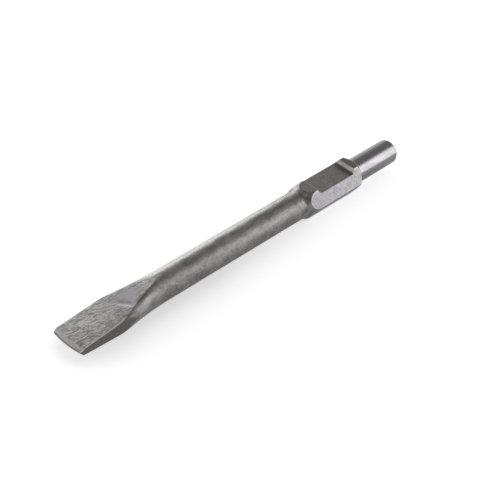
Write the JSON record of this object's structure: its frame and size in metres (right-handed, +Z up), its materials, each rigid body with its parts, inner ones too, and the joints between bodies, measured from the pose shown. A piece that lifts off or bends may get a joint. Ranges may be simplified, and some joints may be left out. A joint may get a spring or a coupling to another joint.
{
  "type": "flat demolition chisel",
  "caption": "Flat forged steel chisel for a power hammer: round striking tail, hexagonal shank with a retainer notch, round bar and a wide flat cutting blade.",
  "frame": {"origin": "centre of the round striking face, on the bar's axis", "axes": "+X along the bar from the striking face to the cutting edge; +Z up, out of the retainer notch and square to the blade's broad faces; +Y completes a right-handed frame, across the blade's width"},
  "size_m": [0.411, 0.0342, 0.03],
  "materials": {
    "turned_steel": "turned and polished by use",
    "blasted_steel": "shot-blasted flats, milled notch",
    "forged_steel": "forged, hardened and oiled, satin",
    "ground_steel": "coarsely ground"
  },
  "bodies": {
    "root": {"striking_tail": "turned_steel", "hex_shank": "blasted_steel", "round_bar": "forged_steel", "flat_blade": "ground_steel"}
  },
  "joints": []
}
